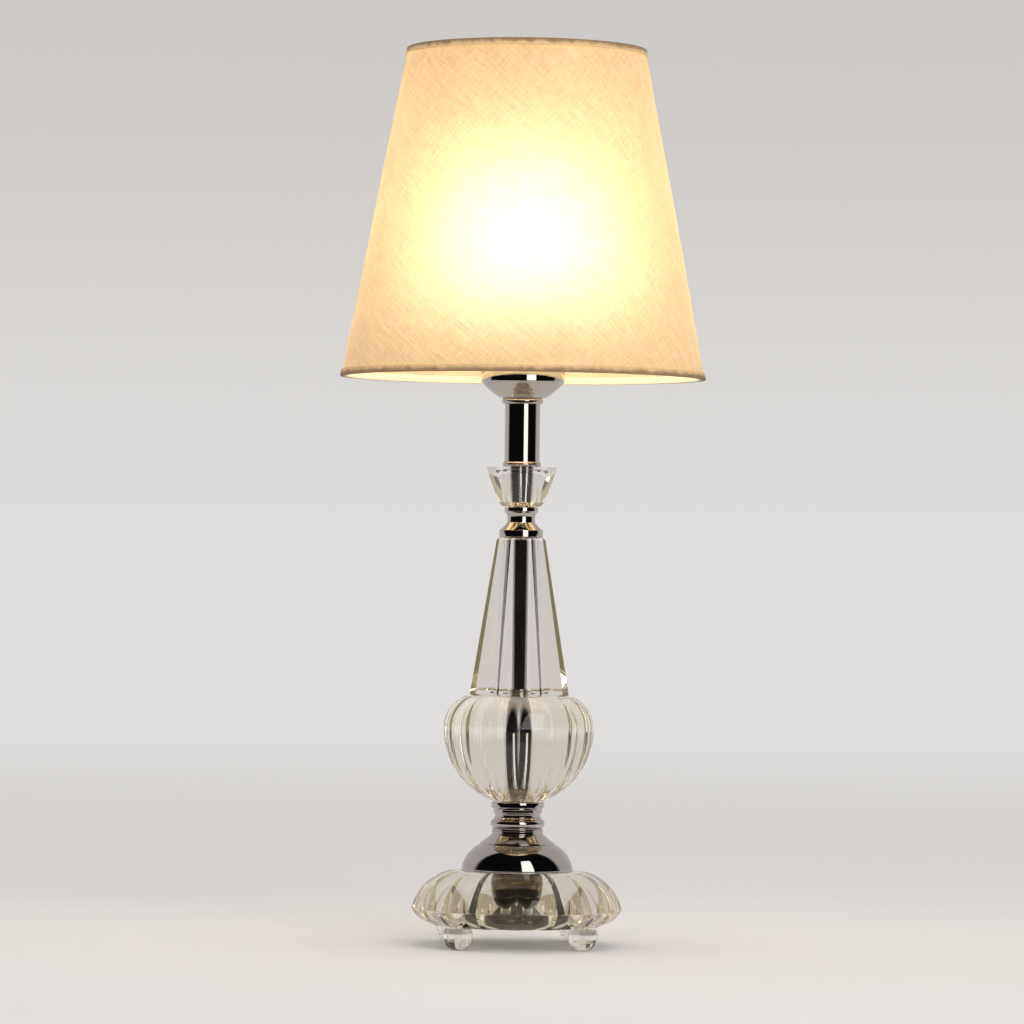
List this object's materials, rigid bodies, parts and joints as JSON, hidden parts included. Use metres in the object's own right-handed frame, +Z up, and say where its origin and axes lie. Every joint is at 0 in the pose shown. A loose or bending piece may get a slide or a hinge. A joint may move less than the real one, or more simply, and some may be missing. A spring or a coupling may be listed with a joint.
{
  "type": "table lamp",
  "caption": "Candlestick table lamp: stacked cut crystal and chrome column on a fluted crystal disc with bead feet, tapered linen drum shade.",
  "frame": {"origin": "centre of the shade's and column's axis at the surface that the feet stand on", "axes": "+Z up the column; -Y is the front, where a ridge of the ball and disc and a flat of the cone face; +Y is the cord outlet's side"},
  "size_m": [0.244, 0.2439, 0.5975],
  "materials": {
    "crystal": "polished, clear with a faint warm tint",
    "chrome": "mirror polish",
    "zinc_steel": "bright zinc plate",
    "rubber_black": "moulded, satin",
    "holder_black": "moulded phenolic",
    "ceramic": "glazed ceramic",
    "brass": "rolled strip",
    "gasket_clear": "clear soft sheet",
    "bulb_cap_metal": "rolled thin sheet",
    "bulb_glass": "frosted inside",
    "insulator_black": "vitrified glass",
    "filament_wire": "drawn wire",
    "linen": "slubby linen weave laid on the bias",
    "shade_liner": "styrene sheet",
    "hem_tape": "folded linen tape",
    "white_wire": "white powder coat"
  },
  "bodies": {
    "lamp_body": {"crystal_disc": "crystal", "base_bowl": "chrome", "base_dome": "chrome", "cord_outlet": "rubber_black", "base_collar": "chrome", "base_washer": "zinc_steel", "base_nut": "zinc_steel", "centre_rod": "zinc_steel", "crystal_ball": "crystal", "crystal_cone": "crystal", "lower_sleeve": "chrome", "neck_spool": "chrome", "crystal_cup": "crystal", "upper_sleeve": "chrome", "clear_gaskets": "gasket_clear", "tube_foot": "chrome", "chrome_tube": "chrome", "tube_head": "chrome", "drip_cup": "chrome", "top_nut": "zinc_steel", "holder_cap": "holder_black", "holder_body": "holder_black", "contact_carrier": "ceramic", "screw_shell": "brass", "centre_contact": "brass", "foot_front_right": "crystal", "foot_rear_right": "crystal", "foot_rear_left": "crystal", "foot_front_left": "crystal"},
    "ring_nut": {"shade_ring_nut": "holder_black"},
    "bulb_contact": {"bulb_tip": "zinc_steel"},
    "bulb": {"bulb_insulator": "insulator_black", "bulb_cap": "bulb_cap_metal", "bulb_glass": "bulb_glass", "bulb_stem": "bulb_glass", "bulb_filament": "filament_wire"},
    "shade": {"shade_fabric": "linen", "shade_liner": "shade_liner", "shade_top_hem": "hem_tape", "shade_bottom_hem": "hem_tape", "shade_top_hoop": "white_wire", "shade_frame": "white_wire"}
  },
  "joints": [
    {"name": "shade_turn", "type": "hinge", "parent": "lamp_body", "child": "shade", "pos_m": [0, 0, 0.396], "axis": [0, 0, 1], "continuous": true},
    {"name": "ring_nut_lift", "type": "slide", "parent": "lamp_body", "child": "ring_nut", "axis": [0, 0, 1], "range_m": [0, 0.012]},
    {"name": "bulb_rise", "type": "slide", "parent": "lamp_body", "child": "bulb_contact", "axis": [0, 0, 1], "range_m": [0, 0.0182]},
    {"name": "bulb_turn", "type": "hinge", "parent": "bulb_contact", "child": "bulb", "pos_m": [0, 0, 0.4], "axis": [0, 0, 1], "range_deg": [0, 1800]}
  ],
  "couplings": [
    {"joint": "bulb_rise", "follows": "bulb_turn", "m_per_rad": 0.00057757}
  ]
}
